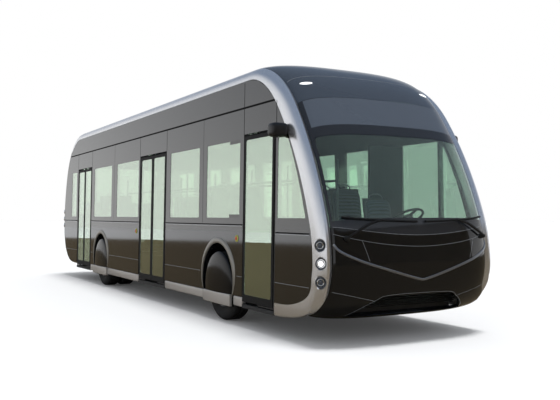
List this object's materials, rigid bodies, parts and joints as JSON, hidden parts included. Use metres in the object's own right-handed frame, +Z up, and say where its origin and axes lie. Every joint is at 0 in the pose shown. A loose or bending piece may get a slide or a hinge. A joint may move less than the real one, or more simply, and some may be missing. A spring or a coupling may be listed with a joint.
{
  "type": "electric city bus",
  "caption": "Low-floor electric city bus with a rounded nose, wrap-round glazing, inward-gliding doors, covered wheels, steered front axle and twin rear tyres.",
  "frame": {"origin": "on the ground under the middle of the bus", "axes": "+X forward, +Y to the left side, +Z up; the doors are on the right, at -Y"},
  "size_m": [12.16, 2.9214, 3.47],
  "materials": {
    "tyre_rubber": "matt tread rubber",
    "wheel_steel": "satin silver paint",
    "tinted_glass": "polished green-tinted glass",
    "silver_paint": "satin metallic paint",
    "dark_steel": "satin black paint",
    "floor_covering": "matt floor sheet",
    "roof_paint": "gloss blue-black paint",
    "seat_fabric": "woven plush",
    "pole_paint": "satin graphite powder coat",
    "clear_lens": "clear polycarbonate",
    "red_lens": "red polycarbonate",
    "wiper_rubber": "matt rubber and black paint",
    "cab_plastic": "grained moulding",
    "black_gloss": "high-gloss black paint"
  },
  "bodies": {
    "body": {"chassis_frame": "dark_steel", "floor": "floor_covering", "front_axle": "dark_steel", "rear_axle": "dark_steel", "traction_motor": "dark_steel", "battery_pack": "dark_steel", "right_side": "black_gloss", "left_side": "black_gloss", "cove_panels": "black_gloss", "roof": "roof_paint", "nose_cap": "black_gloss", "windscreen": "tinted_glass", "front_panel": "black_gloss", "front_bumper": "black_gloss", "rear_window": "tinted_glass", "rear_panel": "black_gloss", "frame_hoops": "silver_paint", "side_glass": "tinted_glass", "headlamps": "clear_lens", "tail_lamps": "red_lens", "sill_skirts": "silver_paint", "rear_spats": "black_gloss", "camera_pods": "black_gloss", "wipers": "wiper_rubber", "dashboard": "cab_plastic", "driver_cab": "cab_plastic", "seats": "seat_fabric", "grab_poles": "pole_paint"},
    "front_door_arm": {"front_arm": "dark_steel"},
    "front_door_leaf": {"front_leaf": "black_gloss", "front_leaf_glass": "tinted_glass"},
    "mid_door_arm_a": {"mid_arm_a": "dark_steel"},
    "mid_door_leaf_a": {"mid_leaf_a": "black_gloss", "mid_leaf_a_glass": "tinted_glass"},
    "mid_door_arm_b": {"mid_arm_b": "dark_steel"},
    "mid_door_leaf_b": {"mid_leaf_b": "black_gloss", "mid_leaf_b_glass": "tinted_glass"},
    "rear_door_arm_a": {"rear_arm_a": "dark_steel"},
    "rear_door_leaf_a": {"rear_leaf_a": "black_gloss", "rear_leaf_a_glass": "tinted_glass"},
    "rear_door_arm_b": {"rear_arm_b": "dark_steel"},
    "rear_door_leaf_b": {"rear_leaf_b": "black_gloss", "rear_leaf_b_glass": "tinted_glass"},
    "knuckle_right_body": {"knuckle_right": "dark_steel", "spat_right": "black_gloss"},
    "knuckle_left_body": {"knuckle_left": "dark_steel", "spat_left": "black_gloss"},
    "steering_wheel_body": {"steering_wheel": "cab_plastic"},
    "wheel_front_right": {"tyre_front_right": "tyre_rubber", "rim_front_right": "wheel_steel"},
    "wheel_front_left": {"tyre_front_left": "tyre_rubber", "rim_front_left": "wheel_steel"},
    "wheel_rear_right": {"tyre_rear_right": "tyre_rubber", "rim_rear_right": "wheel_steel"},
    "wheel_rear_left": {"tyre_rear_left": "tyre_rubber", "rim_rear_left": "wheel_steel"}
  },
  "joints": [
    {"name": "front_arm_swing", "type": "hinge", "parent": "body", "child": "front_door_arm", "pos_m": [4.821, -1.23603, 1.42293], "axis": [0, -0.0166, -0.9999], "range_deg": [0, 85]},
    {"name": "front_leaf_turn", "type": "hinge", "parent": "front_door_arm", "child": "front_door_leaf", "pos_m": [4.4155, -1.23603, 1.42293], "axis": [0, -0.0166, -0.9999], "range_deg": [-170, 0]},
    {"name": "mid_a_arm_swing", "type": "hinge", "parent": "body", "child": "mid_door_arm_a", "pos_m": [-0.141, -1.23603, 1.42293], "axis": [0, 0.0166, 0.9999], "range_deg": [0, 85]},
    {"name": "mid_a_leaf_turn", "type": "hinge", "parent": "mid_door_arm_a", "child": "mid_door_leaf_a", "pos_m": [0.1685, -1.23603, 1.42293], "axis": [0, 0.0166, 0.9999], "range_deg": [-170, 0]},
    {"name": "mid_b_arm_swing", "type": "hinge", "parent": "body", "child": "mid_door_arm_b", "pos_m": [1.147, -1.23603, 1.42293], "axis": [0, -0.0166, -0.9999], "range_deg": [0, 85]},
    {"name": "mid_b_leaf_turn", "type": "hinge", "parent": "mid_door_arm_b", "child": "mid_door_leaf_b", "pos_m": [0.8375, -1.23603, 1.42293], "axis": [0, -0.0166, -0.9999], "range_deg": [-170, 0]},
    {"name": "rear_a_arm_swing", "type": "hinge", "parent": "body", "child": "rear_door_arm_a", "pos_m": [-4.523, -1.23603, 1.42293], "axis": [0, 0.0166, 0.9999], "range_deg": [0, 85]},
    {"name": "rear_a_leaf_turn", "type": "hinge", "parent": "rear_door_arm_a", "child": "rear_door_leaf_a", "pos_m": [-4.2505, -1.23603, 1.42293], "axis": [0, 0.0166, 0.9999], "range_deg": [-170, 0]},
    {"name": "rear_b_arm_swing", "type": "hinge", "parent": "body", "child": "rear_door_arm_b", "pos_m": [-3.383, -1.23603, 1.42293], "axis": [0, -0.0166, -0.9999], "range_deg": [0, 85]},
    {"name": "rear_b_leaf_turn", "type": "hinge", "parent": "rear_door_arm_b", "child": "rear_door_leaf_b", "pos_m": [-3.6555, -1.23603, 1.42293], "axis": [0, -0.0166, -0.9999], "range_deg": [-170, 0]},
    {"name": "steer_right", "type": "hinge", "parent": "body", "child": "knuckle_right_body", "pos_m": [3.22, -0.95, 0.48], "axis": [0, 0, 1], "range_deg": [-45, 45]},
    {"name": "steer_left", "type": "hinge", "parent": "body", "child": "knuckle_left_body", "pos_m": [3.22, 0.95, 0.48], "axis": [0, 0, 1], "range_deg": [-45, 45]},
    {"name": "steering_wheel_turn", "type": "hinge", "parent": "body", "child": "steering_wheel_body", "pos_m": [5.05, 0.62, 1.44], "axis": [-0.5, 0, 0.866], "range_deg": [-810, 810]},
    {"name": "wheel_front_right_roll", "type": "hinge", "parent": "knuckle_right_body", "child": "wheel_front_right", "pos_m": [3.22, -1.072, 0.48], "axis": [0, 1, 0], "continuous": true},
    {"name": "wheel_front_left_roll", "type": "hinge", "parent": "knuckle_left_body", "child": "wheel_front_left", "pos_m": [3.22, 1.072, 0.48], "axis": [0, 1, 0], "continuous": true},
    {"name": "wheel_rear_right_roll", "type": "hinge", "parent": "body", "child": "wheel_rear_right", "pos_m": [-2.58, -1.078, 0.48], "axis": [0, 1, 0], "continuous": true},
    {"name": "wheel_rear_left_roll", "type": "hinge", "parent": "body", "child": "wheel_rear_left", "pos_m": [-2.58, 1.078, 0.48], "axis": [0, 1, 0], "continuous": true}
  ],
  "couplings": [
    {"joint": "front_leaf_turn", "follows": "front_arm_swing", "ratio": -2},
    {"joint": "mid_a_leaf_turn", "follows": "mid_a_arm_swing", "ratio": -2},
    {"joint": "mid_b_leaf_turn", "follows": "mid_b_arm_swing", "ratio": -2},
    {"joint": "rear_a_leaf_turn", "follows": "rear_a_arm_swing", "ratio": -2},
    {"joint": "rear_b_leaf_turn", "follows": "rear_b_arm_swing", "ratio": -2},
    {"joint": "steer_left", "follows": "steer_right", "ratio": 1},
    {"joint": "steering_wheel_turn", "follows": "steer_right", "ratio": 18}
  ]
}
